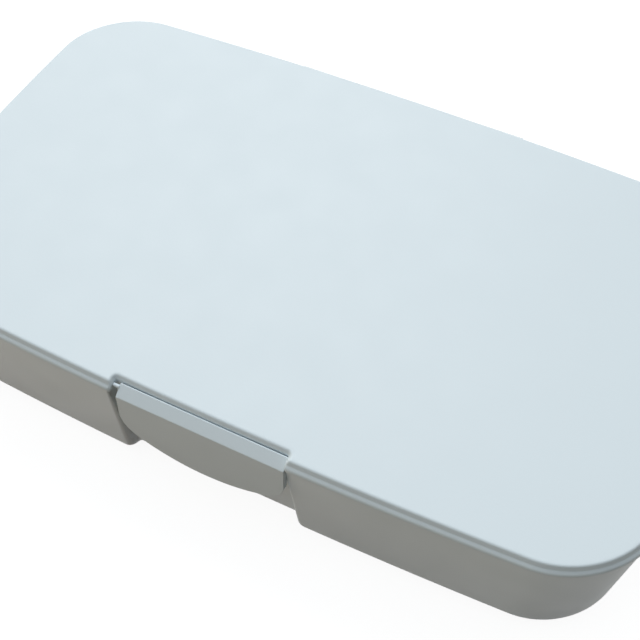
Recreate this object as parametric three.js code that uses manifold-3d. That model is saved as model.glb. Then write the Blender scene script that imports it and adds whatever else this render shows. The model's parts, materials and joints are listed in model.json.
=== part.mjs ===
// A flat travel pill box: a moulded tray with four bays, each split by a lift-out divider, a lid that
// turns on a rear pin and carries a silicone seal, and a latch flap that hangs in a notch of the lid.
// Lengths are millimetres and angles degrees. +X runs along the front, +Y to the rear hinge, +Z up.
// The origin is the middle of the tray's flat base.
import * as THREE from "three";
import { mergeVertices } from "three/addons/utils/BufferGeometryUtils.js";
import Module from "manifold-3d";

const wasm = await Module();
wasm.setup();

// Plan of the box, measured at the lid's flange. The sides bow out, so the corners lie further in.
const boxLength = 130;
const boxDepth = 75.8;
const cornerRadius = 14.5;
const longSideBow = 2.3;
const shortSideBow = 1.3;

// Tray
const trayHeight = 24.3;
const trayWall = 1.6;
const rimInset = 0.5;
const wallDraft = 4.2;
const baseFillet = 4;
const rimChamfer = 0.7;
const bayWall = 1.2;
const bayPitch = 31;

// Recess in the tray's front that the latch flap hangs in
const recessHalfWidth = 14.5;
const recessDepth = 1.8;
const recessMouthRadius = 1.2;
const recessInnerRadius = 0.5;

// Lid
const flangeThickness = 1.15;
const flangeEdge = 0.5;
const plateauStep = 0.75;
const plateauInset = 0.8;
const plateauEdge = 0.45;
const lidPlate = 1.4;
const partingGap = 0.3;
const skirtThickness = 1.1;
const skirtDrop = 2.6;
const skirtFootHeight = 0.7;
const skirtFootReach = 1;

// Silicone seal in the groove round the lid's skirt
const sealWidth = 1.5;
const sealGap = 0.3;
const sealLip = 0.35;

// Dividers and the ribs that guide them
const dividerThickness = 1.2;
const dividerPlace = 0;
const dividerSlack = 0.3;
const dividerDrop = 0.3;
const guideWidth = 0.8;
const guideReach = 1;
const scallopRadius = 7;
const scallopDepth = 3.5;

// Rear hinge: knuckles of the tray and of the lid in turn, on one steel pin
const hingeLength = 44;
const knuckleCount = 5;
const knuckleRadius = 1.4;
const knuckleGap = 0.35;
const pinRadius = 0.65;
const pinSlack = 0.1;
const hingeOutset = 1.2;
const hingeDrop = 2.5;

// Latch flap, hung on two stub pivots between the cheeks of the lid's notch
const flapWidth = 28.2;
const flapHeight = 12.2;
const flapThickness = 1.3;
const flapLean = 4;
const flapCornerRadius = 5;
const flapBottomRadius = 25;
const flapSideGap = 0.35;
const notchDepth = 2.07;
const notchCornerRadius = 0.5;
const notchMouthRadius = 1;
const pivotRadius = 0.45;
const pivotSlack = 0.1;
const pivotLength = 1.3;
const pivotInset = 1.45;
const pivotRise = 0.7;
const ridgeDrop = 0.24;

// Catch: a rib on the recess floor, and the bead on the flap that snaps below it
const catchHalfWidth = 7;
const catchHeight = 1.4;
const catchDrop = 6.7;
const catchGap = 0.3;
const beadHeight = 1;
const beadReach = 0.8;

// Clearance of pieces that pass under the lid, overlap of joined pieces, and overrun of cuts
const runningGap = 0.3;
const bite = 0.3;
const overrun = 1;

// Steps round curves
const cornerSteps = 12;
const sideSteps = 6;
const longSideSteps = 10;
const mouthSteps = 4;
const edgeSteps = 3;
const filletSteps = 6;
const roundSteps = 24;

// Heights and insets that follow from the sizes above
const flangeBottom = trayHeight + partingGap;
const flangeTop = flangeBottom + flangeThickness;
const plateauTop = flangeTop + plateauStep;
const sealInset = rimInset + trayWall + sealGap;
const skirtInset = sealInset + sealWidth + sealGap;
const skirtInner = skirtInset + skirtThickness;
const skirtBottom = flangeBottom - skirtDrop;
const lowTop = skirtBottom - runningGap;
const frontPlane = -boxDepth / 2;
const hingeY = boxDepth / 2 + hingeOutset;
const hingeZ = flangeBottom - hingeDrop;
const pivotY = frontPlane + pivotInset;
const pivotZ = flangeBottom + pivotRise;
const ridgeZ = pivotZ - ridgeDrop;

const radians = THREE.MathUtils.degToRad;
const point = (x, y) => new THREE.Vector2(x, y);

// Points on an arc, both ends included.
function arc(centre, radius, from, to, steps) {
  return Array.from({ length: steps + 1 }, (_, i) => {
    const angle = radians(from + ((to - from) * i) / steps);
    return point(centre.x + radius * Math.cos(angle), centre.y + radius * Math.sin(angle));
  });
}

// Points between two others, both ends left out.
function between(start, end, steps) {
  return Array.from({ length: steps - 1 }, (_, i) => start.clone().lerp(end, (i + 1) / steps));
}

// The moulded box has no straight side: each side swells towards its middle.
function bowed({ x, y }) {
  const along = x / (boxLength / 2);
  const across = y / (boxDepth / 2);
  return point(x - shortSideBow * along * across ** 2, y - longSideBow * across * along ** 2);
}

// Right half of the latch recess at an inset: round its mouth at the front face, then in to its floor.
function recessHalf(inset) {
  const centre = point(recessHalfWidth - recessInnerRadius, frontPlane + recessDepth - recessInnerRadius);
  const inner = recessInnerRadius + inset;
  const mouthY = frontPlane + inset + recessMouthRadius;
  const turn = Math.asin(Math.max(mouthY - centre.y, 0) / (inner + recessMouthRadius));
  const mouthCentre = point(centre.x + (inner + recessMouthRadius) * Math.cos(turn), mouthY);
  const start = THREE.MathUtils.radToDeg(turn);
  return [
    ...arc(mouthCentre, recessMouthRadius, 270, 180 + start, mouthSteps),
    ...arc(centre, inner, start, 90, filletSteps),
  ];
}

// Plan outline of the box at an inset from the flange's edge, anticlockwise, with or without the recess.
function outline(inset, recessed = true) {
  const radius = cornerRadius - inset;
  const centreX = boxLength / 2 - cornerRadius;
  const centreY = boxDepth / 2 - cornerRadius;
  const corner = (x, y, from) => arc(point(x, y), radius, from, from + 90, cornerSteps);
  const corners = [
    corner(centreX, -centreY, -90),
    corner(centreX, centreY, 0),
    corner(-centreX, centreY, 90),
    corner(-centreX, -centreY, 180),
  ];
  const half = recessHalf(inset);
  const mirrored = half.map(({ x, y }) => point(-x, y));
  const front = recessed
    ? [
        ...between(corners[3].at(-1), mirrored[0], sideSteps),
        ...mirrored,
        ...half.toReversed(),
        ...between(half[0], corners[0][0], sideSteps),
      ]
    : between(corners[3].at(-1), corners[0][0], longSideSteps);
  return [
    ...corners[0],
    ...between(corners[0].at(-1), corners[1][0], sideSteps),
    ...corners[1],
    ...between(corners[1].at(-1), corners[2][0], longSideSteps),
    ...corners[2],
    ...between(corners[2].at(-1), corners[3][0], sideSteps),
    ...corners[3],
    ...front,
  ].map(bowed);
}

// A three.js geometry as a solid that can be joined and cut.
function solidOf(geometry) {
  const bare = geometry.clone();
  bare.deleteAttribute("normal");
  bare.deleteAttribute("uv");
  const merged = mergeVertices(bare);
  return new wasm.Manifold(
    new wasm.Mesh({
      numProp: 3,
      vertProperties: merged.attributes.position.array,
      triVerts: Uint32Array.from(merged.index.array),
    }),
  );
}

// Indices of the faces between ring after ring of vertices.
function skin(ringCount, ringSize, closed) {
  const faces = [];
  for (let ring = 0; ring < (closed ? ringCount : ringCount - 1); ring++) {
    const low = ring * ringSize;
    const high = ((ring + 1) % ringCount) * ringSize;
    for (let i = 0; i < ringSize; i++) {
      const next = (i + 1) % ringSize;
      faces.push(low + i, low + next, high + next, low + i, high + next, high + i);
    }
  }
  return faces;
}

function indexed(vertices, faces) {
  return new THREE.BufferGeometry()
    .setAttribute("position", new THREE.Float32BufferAttribute(vertices, 3))
    .setIndex(faces);
}

// Solid through a stack of sections, each an inset of the plan outline at a height, lowest first.
function loft(sections, recessed = true) {
  const rings = sections.map(({ inset }) => outline(inset, recessed));
  const vertices = rings.flatMap((ring, i) => ring.flatMap(({ x, y }) => [x, y, sections[i].z]));
  const size = rings[0].length;
  const top = (rings.length - 1) * size;
  const faces = skin(rings.length, size, false);
  for (const [a, b, c] of THREE.ShapeUtils.triangulateShape(rings[0], [])) faces.push(a, c, b);
  for (const [a, b, c] of THREE.ShapeUtils.triangulateShape(rings.at(-1), [])) {
    faces.push(top + a, top + b, top + c);
  }
  return solidOf(indexed(vertices, faces));
}

// Ring with a closed section, given as insets and heights in order from the outer face's foot upwards.
function ringAround(section) {
  const rings = section.map(({ inset }) => outline(inset));
  const vertices = rings.flatMap((ring, i) => ring.flatMap(({ x, y }) => [x, y, section[i].z]));
  return solidOf(indexed(vertices, skin(rings.length, rings[0].length, true)));
}

function block(fromX, toX, fromY, toY, fromZ, toZ) {
  const geometry = new THREE.BoxGeometry(toX - fromX, toY - fromY, toZ - fromZ);
  return solidOf(geometry.translate((fromX + toX) / 2, (fromY + toY) / 2, (fromZ + toZ) / 2));
}

// A shape drawn in (y, z) and drawn out along X.
const axesAlongX = new THREE.Matrix4().makeBasis(
  new THREE.Vector3(0, 1, 0),
  new THREE.Vector3(0, 0, 1),
  new THREE.Vector3(1, 0, 0),
);
function alongX(shape, from, to) {
  const geometry = new THREE.ExtrudeGeometry(shape, {
    depth: to - from,
    bevelEnabled: false,
    curveSegments: roundSteps,
  });
  return solidOf(geometry.applyMatrix4(axesAlongX).translate(from, 0, 0));
}

// A shape drawn in (x, z), with its thickness centred on a place along Y.
function alongY(shape, thickness, place) {
  const geometry = new THREE.ExtrudeGeometry(shape, {
    depth: thickness,
    bevelEnabled: false,
    curveSegments: roundSteps,
  });
  return solidOf(geometry.rotateX(Math.PI / 2).translate(0, place + thickness / 2, 0));
}

function rodAlongX(radius, from, to, y, z) {
  const geometry = new THREE.CylinderGeometry(radius, radius, to - from, roundSteps);
  return solidOf(geometry.rotateZ(Math.PI / 2).translate((from + to) / 2, y, z));
}

const joined = (solids) => solids.reduce((all, solid) => all.add(solid));

// Sections of the tray's wall at a distance in from its outer surface, from the base up to a height.
function trayShell(distance, top) {
  const draft = radians(wallDraft);
  const turn = baseFillet * (1 - Math.sin(draft));
  const centre = rimInset + (trayHeight - turn) * Math.tan(draft) + baseFillet * Math.cos(draft);
  const radius = baseFillet - distance;
  const sections = Array.from({ length: filletSteps + 1 }, (_, i) => {
    const angle = Math.PI / 2 + ((draft - Math.PI / 2) * i) / filletSteps;
    return { inset: centre - radius * Math.cos(angle), z: baseFillet - radius * Math.sin(angle) };
  });
  const last = sections.at(-1);
  return [...sections, { inset: last.inset - (top - last.z) * Math.tan(draft), z: top }];
}

// Inset of the tray's wall at a height above its fillet.
function shellInset(distance, height) {
  return trayShell(distance, height).at(-1).inset;
}

const bayWalls = [-bayPitch, 0, bayPitch];

// Space inside the tray that its fixed walls may fill: low under the lid's skirt, high between it.
function wallRoom() {
  const low = loft(trayShell(trayWall - bite, lowTop));
  const inset = skirtInner + runningGap;
  return low.add(loft([{ inset, z: lowTop - overrun }, { inset, z: trayHeight }]));
}

// Pairs of ribs on both faces of each bay wall and on the end walls, which hold a divider between them.
function dividerGuides() {
  const away = dividerThickness / 2 + dividerSlack / 2 + guideWidth / 2;
  const places = [dividerPlace - away, dividerPlace + away];
  const bands = places.map((y) =>
    block(-boxLength, boxLength, y - guideWidth / 2, y + guideWidth / 2, trayWall - bite, lowTop),
  );
  const columns = bayWalls.map((x) => {
    const reach = bayWall / 2 + guideReach;
    return block(x - reach, x + reach, -boxDepth, boxDepth, trayWall - bite, lowTop);
  });
  const margin = loft(trayShell(trayWall - bite, lowTop)).subtract(
    loft(trayShell(trayWall + guideReach, lowTop + overrun)),
  );
  return joined(bands).intersect(joined([...columns, margin]));
}

// Rib on the recess floor, with a sloping top so that the flap's bead rides over it.
function catchRib() {
  const top = flangeBottom - catchDrop;
  const tip = beadTipY() + catchGap;
  const root = frontPlane + recessDepth + shellInset(0, top - catchHeight) + bite;
  const shape = new THREE.Shape([
    point(root, top - catchHeight),
    point(root, top),
    point(tip + catchHeight / 2, top),
    point(tip, top - catchHeight / 2),
    point(tip, top - catchHeight),
  ]);
  return alongX(shape, -catchHalfWidth, catchHalfWidth);
}

// Spans along X of the hinge's knuckles, in turn from left to right.
function knuckleSpans() {
  const pitch = (hingeLength + knuckleGap) / knuckleCount;
  return Array.from({ length: knuckleCount }, (_, i) => {
    const from = i * pitch - hingeLength / 2;
    return { from, to: from + pitch - knuckleGap };
  });
}
const trayKnuckles = knuckleSpans().filter((_, i) => i % 2 === 0);
const lidKnuckles = knuckleSpans().filter((_, i) => i % 2 === 1);

function pinHole() {
  return rodAlongX(pinRadius + pinSlack, -hingeLength, hingeLength, hingeY, hingeZ);
}

// Rear face of the tray's wall where the hinge ends, the furthest in that a knuckle has to reach.
function rearFace(inset, x) {
  return bowed(point(x, boxDepth / 2 - inset)).y;
}

// A tray knuckle stands out from the rear wall on a tapered root.
function trayKnuckle({ from, to }) {
  const reach = rearFace(shellInset(0, hingeZ), hingeLength / 2) - bite;
  const shape = new THREE.Shape([
    point(reach, hingeZ - 2 * knuckleRadius),
    ...arc(point(hingeY, hingeZ), knuckleRadius, -60, 90, roundSteps / 2),
    point(reach, hingeZ + knuckleRadius),
  ]);
  return alongX(shape, from, to);
}

// A lid knuckle hangs from the flange's rear edge, clear of the tray's wall.
function lidKnuckle({ from, to }) {
  const reach = rearFace(plateauInset, hingeLength / 2);
  const shape = new THREE.Shape([
    ...arc(point(hingeY, hingeZ), knuckleRadius, -180, 45, roundSteps / 2),
    point(boxDepth / 2, flangeTop - flangeEdge),
    point(reach, flangeTop - flangeEdge),
    point(reach, flangeBottom),
    point(hingeY - knuckleRadius, flangeBottom),
  ]);
  return alongX(shape, from, to);
}

function traySolid() {
  const edge = shellInset(trayWall, trayHeight - rimChamfer);
  const leadIn = loft([
    { inset: edge, z: trayHeight - rimChamfer },
    { inset: edge - rimChamfer - overrun, z: trayHeight + overrun },
  ]);
  const hollow = loft(trayShell(trayWall, trayHeight + overrun)).add(leadIn);
  const shell = loft(trayShell(0, trayHeight)).subtract(hollow);
  const walls = bayWalls.map((x) =>
    block(x - bayWall / 2, x + bayWall / 2, -boxDepth, boxDepth, trayWall - bite, trayHeight),
  );
  const inside = joined(walls).intersect(wallRoom());
  return joined([shell, inside, dividerGuides(), catchRib(), ...trayKnuckles.map(trayKnuckle)]).subtract(
    pinHole(),
  );
}

// Sections of a plate with a straight edge that rounds over at its top.
function plateSections(inset, top, radius) {
  const rounding = Array.from({ length: edgeSteps + 1 }, (_, i) => {
    const angle = (Math.PI / 2) * (i / edgeSteps);
    return { inset: inset + radius * (1 - Math.cos(angle)), z: top - radius * (1 - Math.sin(angle)) };
  });
  return [{ inset, z: flangeBottom }, ...rounding];
}

// The flange and the raised plateau of the lid, one plate with a rounded step.
function lidPlateSolid() {
  const flange = loft(plateSections(0, flangeTop, flangeEdge), false);
  const plateau = loft(plateSections(plateauInset, plateauTop, plateauEdge), false);
  const inset = skirtInner;
  const underside = loft([{ inset, z: flangeBottom - overrun }, { inset, z: plateauTop - lidPlate }]);
  return flange.add(plateau).subtract(underside);
}

// Skirt that plugs into the tray, with a foot that keeps the seal in its groove.
function lidSkirt() {
  const footTop = skirtBottom + skirtFootHeight;
  return ringAround([
    { inset: skirtInset - skirtFootReach, z: skirtBottom },
    { inset: skirtInset - skirtFootReach, z: footTop },
    { inset: skirtInset, z: footTop },
    { inset: skirtInset, z: flangeBottom + bite },
    { inset: skirtInner, z: flangeBottom + bite },
    { inset: skirtInner, z: skirtBottom },
  ]);
}

// Notch in the lid's front edge, with round corners at its mouth and small ones at its back.
function latchNotch() {
  const half = flapWidth / 2 + flapSideGap;
  const back = frontPlane + notchDepth;
  const centre = point(half - notchCornerRadius, back - notchCornerRadius);
  const edge = bowed(point(half + notchMouthRadius, frontPlane));
  const right = [
    ...arc(point(edge.x, edge.y + notchMouthRadius), notchMouthRadius, 270, 180, mouthSteps),
    ...arc(centre, notchCornerRadius, 0, 90, mouthSteps),
  ];
  const left = right.toReversed().map(({ x, y }) => point(-x, y));
  const front = frontPlane - overrun;
  const shape = new THREE.Shape([point(edge.x, front), ...right, ...left, point(-edge.x, front)]);
  const height = plateauTop - flangeBottom + 2 * overrun;
  const geometry = new THREE.ExtrudeGeometry(shape, { depth: height, bevelEnabled: false });
  return solidOf(geometry.translate(0, 0, flangeBottom - overrun));
}

// Blind holes in the notch's cheeks for the flap's pivots.
function pivotHoles() {
  const reach = flapWidth / 2 + flapSideGap + pivotLength;
  return rodAlongX(pivotRadius + pivotSlack, -reach, reach, pivotY, pivotZ);
}

function lidSolid() {
  const body = joined([lidPlateSolid(), lidSkirt()]).subtract(latchNotch()).subtract(pivotHoles());
  return joined([body, ...lidKnuckles.map(lidKnuckle)]).subtract(pinHole());
}

// Seal with a lip along the foot of its outer face.
function sealSolid() {
  const bottom = skirtBottom + skirtFootHeight + sealGap;
  const top = flangeBottom - sealGap;
  return ringAround([
    { inset: sealInset, z: bottom },
    { inset: sealInset, z: bottom + sealLip },
    { inset: sealInset + sealLip, z: bottom + 2 * sealLip },
    { inset: sealInset + sealLip, z: top },
    { inset: sealInset + sealWidth, z: top },
    { inset: sealInset + sealWidth, z: bottom },
  ]);
}

// Panel of the flap, in (x, z) below its ridge: straight sides, round corners and a bowed bottom edge.
function flapPanel() {
  const half = flapWidth / 2;
  const bottomZ = flapBottomRadius - flapHeight;
  const run = half - flapCornerRadius;
  const fall = Math.sqrt((flapBottomRadius - flapCornerRadius) ** 2 - run ** 2);
  const turn = Math.atan2(-fall, run);
  const shape = new THREE.Shape();
  shape.moveTo(-half, 0);
  shape.lineTo(-half, bottomZ - fall);
  shape.absarc(-run, bottomZ - fall, flapCornerRadius, -Math.PI, -Math.PI - turn, false);
  shape.absarc(0, bottomZ, flapBottomRadius, -Math.PI - turn, turn, false);
  shape.absarc(run, bottomZ - fall, flapCornerRadius, turn, 0, false);
  shape.lineTo(half, 0);
  return shape;
}

// Distance of the bead's middle below the flap's ridge: just under the catch rib.
const beadDepth = ridgeZ - (flangeBottom - catchDrop - catchHeight - catchGap - beadHeight / 2);

function beadTipY() {
  const lean = radians(flapLean);
  return frontPlane + (flapThickness + beadReach) * Math.cos(lean) - beadDepth * Math.sin(lean);
}

// The flap with its origin on the pivots' axis: a rounded band over a panel that leans out a little.
function flapSolid() {
  const half = flapWidth / 2;
  const ridge = point(-pivotInset, ridgeZ - pivotZ);
  const panel = alongY(flapPanel(), flapThickness, flapThickness / 2);
  const bead = block(
    -catchHalfWidth,
    catchHalfWidth,
    flapThickness - bite,
    flapThickness + beadReach,
    -beadDepth - beadHeight / 2,
    -beadDepth + beadHeight / 2,
  );
  const leaning = panel
    .add(bead)
    .rotate([-flapLean, 0, 0])
    .translate([0, ridge.x, ridge.y]);
  const band = new THREE.Shape([
    ridge,
    point(ridge.x, ridge.y - flapThickness),
    point(ridge.x + flapThickness, ridge.y - flapThickness),
    ...arc(point(0, 0), pivotRadius, -90, 90, roundSteps / 2),
  ]);
  const pivots = rodAlongX(pivotRadius, -half - pivotLength, half + pivotLength, 0, 0);
  return joined([leaning, alongX(band, -half, half), pivots]);
}

// Divider between two bay walls, or between a bay wall and the drafted end wall, centred on its bay.
function dividerSolid(side, outer) {
  const wallGap = bayWall / 2 + dividerSlack;
  const near = (outer ? bayPitch : 0) + wallGap;
  const far = outer ? boxLength : bayPitch - wallGap;
  const slab = block(
    near,
    far,
    dividerPlace - dividerThickness / 2,
    dividerPlace + dividerThickness / 2,
    trayWall + dividerDrop,
    trayHeight - dividerDrop,
  );
  const low = loft(trayShell(trayWall + dividerSlack, lowTop));
  const inset = skirtInner + runningGap;
  const high = loft([{ inset, z: lowTop - overrun }, { inset, z: trayHeight + overrun }]);
  const middle = (near + (outer ? boxLength / 2 - skirtInner : far)) / 2;
  const scallop = new THREE.CylinderGeometry(scallopRadius, scallopRadius, boxDepth, 2 * roundSteps);
  const lift = trayHeight - dividerDrop - scallopDepth + scallopRadius;
  const solid = slab.intersect(low.add(high)).subtract(solidOf(scallop.translate(middle, 0, lift)));
  return side < 0 ? solid.mirror([1, 0, 0]) : solid;
}

// Finishes
const white = new THREE.MeshStandardMaterial({ color: 0xe9edee, roughness: 0.42 });
const clouded = new THREE.MeshStandardMaterial({ color: 0xe4e8e9, roughness: 0.5 });
const silicone = new THREE.MeshStandardMaterial({ color: 0xd9dedf, roughness: 0.7 });
const steel = new THREE.MeshStandardMaterial({ color: 0xb9bcc0, roughness: 0.3, metalness: 1 });

// A solid as a named mesh, with its origin moved to a given place in the box.
function part(name, solid, material, origin = new THREE.Vector3()) {
  const { vertProperties, triVerts, numProp } = solid.getMesh();
  const geometry = new THREE.BufferGeometry()
    .setAttribute("position", new THREE.BufferAttribute(Float32Array.from(vertProperties), numProp))
    .setIndex(new THREE.BufferAttribute(Uint32Array.from(triVerts), 1));
  const mesh = new THREE.Mesh(geometry, material);
  mesh.name = name;
  mesh.position.copy(origin);
  return mesh;
}

const box = new THREE.Group();
box.add(part("tray", traySolid(), white));

let dividerNumber = 1;
for (const [side, outer] of [[-1, true], [-1, false], [1, false], [1, true]]) {
  box.add(part(`divider_${dividerNumber}`, dividerSolid(side, outer), clouded));
  dividerNumber += 1;
}

const pin = rodAlongX(pinRadius, -hingeLength / 2, hingeLength / 2, 0, 0);
box.add(part("hinge_pin", pin, steel, new THREE.Vector3(0, hingeY, hingeZ)));

const lidGroup = new THREE.Group();
lidGroup.add(part("lid", lidSolid(), white));
lidGroup.add(part("sealing_ring", sealSolid(), silicone));
lidGroup.add(part("latch_flap", flapSolid(), white, new THREE.Vector3(0, pivotY, pivotZ)));
box.add(lidGroup);

export default box;
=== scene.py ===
"""A flat travel pill box with a hinged lid and a drop latch flap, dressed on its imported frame.

Everything is in metres in the frame's own axes: +X runs along the front edge, +Y from the latch
flap to the rear hinge, and +Z up through the lid. The origin is the middle of the tray's base.
"""
import json
import math
from contextlib import contextmanager

import bmesh
import bpy
from bpy.props import FloatProperty, FloatVectorProperty, IntProperty, PointerProperty
from bpy.types import Operator, Panel, PropertyGroup
from mathutils import Matrix, Vector


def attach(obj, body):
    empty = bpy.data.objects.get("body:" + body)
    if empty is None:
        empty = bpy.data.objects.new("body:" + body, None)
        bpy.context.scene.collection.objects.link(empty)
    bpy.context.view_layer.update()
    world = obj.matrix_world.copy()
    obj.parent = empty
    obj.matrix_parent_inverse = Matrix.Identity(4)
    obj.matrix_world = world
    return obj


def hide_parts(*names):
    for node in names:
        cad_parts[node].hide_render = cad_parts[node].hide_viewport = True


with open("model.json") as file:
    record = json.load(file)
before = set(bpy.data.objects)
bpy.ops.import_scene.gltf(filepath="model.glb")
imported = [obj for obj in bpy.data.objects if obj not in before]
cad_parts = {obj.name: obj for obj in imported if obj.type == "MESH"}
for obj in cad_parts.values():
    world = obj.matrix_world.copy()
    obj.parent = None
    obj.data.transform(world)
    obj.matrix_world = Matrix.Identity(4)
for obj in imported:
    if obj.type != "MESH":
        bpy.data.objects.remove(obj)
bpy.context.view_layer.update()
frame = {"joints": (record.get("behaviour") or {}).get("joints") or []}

bl_info = {
    "name": "Travel Pill Box",
    "version": (1, 0, 0),
    "blender": (4, 5, 0),
    "location": "3D View > Sidebar > Pill Box",
    "description": "Builds a moulded pill box with bays, sealed lid and latch flap, and its studio",
    "category": "Object",
}

MM = 0.001
AXIS_OF = {joint["name"]: Vector(joint["pos_m"]) for joint in frame["joints"]}
HINGE = AXIS_OF["lid_hinge"]
PIVOT = AXIS_OF["latch_hinge"]

# Steps round the curves of the plan and of the sections
CORNER_STEPS = 24
LONG_STEPS = 24
SHORT_STEPS = 12
MOUTH_STEPS = 5
INNER_STEPS = 8
LARGE_ROUND_STEPS = 10
SMALL_ROUND_STEPS = 4
LARGE_ROUND = 1.1 * MM

# How far a feature runs into what carries it, the gap beside what comes near, the distance under
# which points are one, and small radii of edges
BITE = 0.3 * MM
CLEAR = 0.3 * MM
DOUBLED = 1e-3 * MM
INSIDE_EDGE = 0.1 * MM
FINE_EDGE = 0.15 * MM
PLAIN_EDGE = 0.2 * MM
SOFT_EDGE = 0.25 * MM
END_CUT = 0.12 * MM

# The shaded side: its direction in the sky with the cosines where it begins and is full, and the
# middle of the shade painted on the floor, with its radii
SHADE_FROM = (0.84, -0.52, 0.12)
SHADE_COSINES = (0.38, 0.88)
PAINTED_SHADE_SPOT = (0.12, -0.09, 0)
PAINTED_SHADE_RADII = (0.03, 0.16)
# Where the sky turns from warm to cool, as sines, and the floor, stretched, from near, where its
# brown is darkened as a painted shadow of the box, to far
SKY_RISE = (0.1, 0.7)
FLOOR_RISE = (0.11, 0.3)
FLOOR_STRETCH = (1, 1.6, 0)
FLOOR_HALF = 3.0
FLOOR_DROP = 0.05 * MM
LAMP_PLACE = (-0.66, 1.0, 1.42)

# The camera for a picture of 640 pixels: turn, height and roll in degrees, the point that it turns
# about and its distance in mm, focal length and shift in pixels
VIEW_PIXELS = 640
VIEW_ANGLES = (27.05, 54.37, -0.91)
VIEW_POINT = (5.93, -9.31, 25.75)
VIEW_DISTANCE = 163.74
VIEW_FOCAL = 1044.46
VIEW_SHIFT = (-1.1, -20.6)
SENSOR = 36


def linear(hex_colour, alpha=1.0):
    """An sRGB hex colour as linear red, green, blue and alpha."""
    parts = [int(hex_colour[i : i + 2], 16) / 255 for i in (1, 3, 5)]
    return (*(c / 12.92 if c <= 0.04045 else ((c + 0.055) / 1.055) ** 2.4 for c in parts), alpha)


WHITE = linear("#ffffff")


def prop(name, default, description, kind=FloatProperty, **settings):
    """A property with what every one of them says."""
    return kind(name=name, description=description, default=default, **settings)


def size(name, default, description):
    """A length property whose default is given in millimetres."""
    settings = {"min": 0, "precision": 5, "subtype": "DISTANCE", "unit": "LENGTH"}
    return prop(name, default * MM, description, **settings)


def angle(name, default, description):
    """An angle property whose default is given in degrees."""
    return prop(name, math.radians(default), description, subtype="ANGLE", unit="ROTATION")


def share(name, default, description):
    """A property between 0 and 1."""
    return prop(name, default, description, min=0, max=1, subtype="FACTOR")


def colour(name, default, description):
    """A colour property whose default is an sRGB hex value."""
    settings = {"size": 4, "min": 0, "max": 1, "subtype": "COLOR"}
    return prop(name, linear(default), description, FloatVectorProperty, **settings)


class PillBoxPlan(PropertyGroup):
    """Outline of the lid's flange, seen from above."""

    length: size("Length", 130, "Length of the lid's flange")
    depth: size("Depth", 75.8, "Depth of the lid's flange")
    corner_radius: size("Corner Radius", 14.5, "Radius of the plan's corners")
    long_bow: size("Long Side Bow", 2.3, "Swell of a long side's middle")
    short_bow: size("Short Side Bow", 1.3, "Swell of a short side's middle")


class PillBoxTray(PropertyGroup):
    """Moulded tray with its bays."""

    height: size("Height", 24.3, "Height of the rim above the base")
    wall: size("Wall", 1.6, "Thickness of walls and floor")
    rim_inset: size("Rim Inset", 0.35, "Inset of the rim from the lid's edge")
    draft: angle("Draft", 4.2, "Lean of the outer walls")
    base_fillet: size("Base Fillet", 4, "Radius round the foot of the walls")
    rim_round: size("Rim Round", 0.3, "Radius of the rim's outer edge and lead-in")
    rim_chamfer: size("Rim Chamfer", 0.7, "Lead-in for the lid's skirt inside the rim")
    bay_wall: size("Bay Wall", 1.2, "Thickness of the fixed walls")
    bay_pitch: size("Bay Pitch", 31, "Distance between the fixed walls")
    guide_width: size("Guide Width", 0.8, "Width of a divider's guide ribs")
    guide_reach: size("Guide Reach", 1, "Reach of the guide ribs")
    guide_lift: size("Guide Lift", 0.7, "Start of the end ribs above the others'")
    end_guide: share("End Guide", 0.55, "Length of an end rib over that of the others")
    recess_half_width: size("Recess Half Width", 15.2, "Half the front recess's width")
    recess_depth: size("Recess Depth", 1.95, "Depth of the recess")
    recess_mouth: size("Recess Mouth", 0.25, "Radius of the recess's outer corners")
    recess_inner: size("Recess Inner", 0.4, "Radius of the recess's inner corners")
    inside_mouth: size("Inside Mouth", 1.25, "Radius of its outer corners on the inside")
    recess_play: size("Recess Play", 1.05, "Offset of the flap from the recess's middle")
    recess_spread: share("Recess Spread", 0.4, "Widening of the recess with the draft")
    recess_upright: size("Recess Upright", 1.5, "Draft before the recess widens much")
    recess_soften: prop("Recess Soften", 2.2, "Growth of its corners per widening", min=0)
    catch_half_width: size("Catch Half Width", 7, "Half the length of the catch rib")
    catch_height: size("Catch Height", 1.4, "Height of the catch rib")
    catch_drop: size("Catch Drop", 6.7, "Top of the catch rib below the flange")


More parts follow.
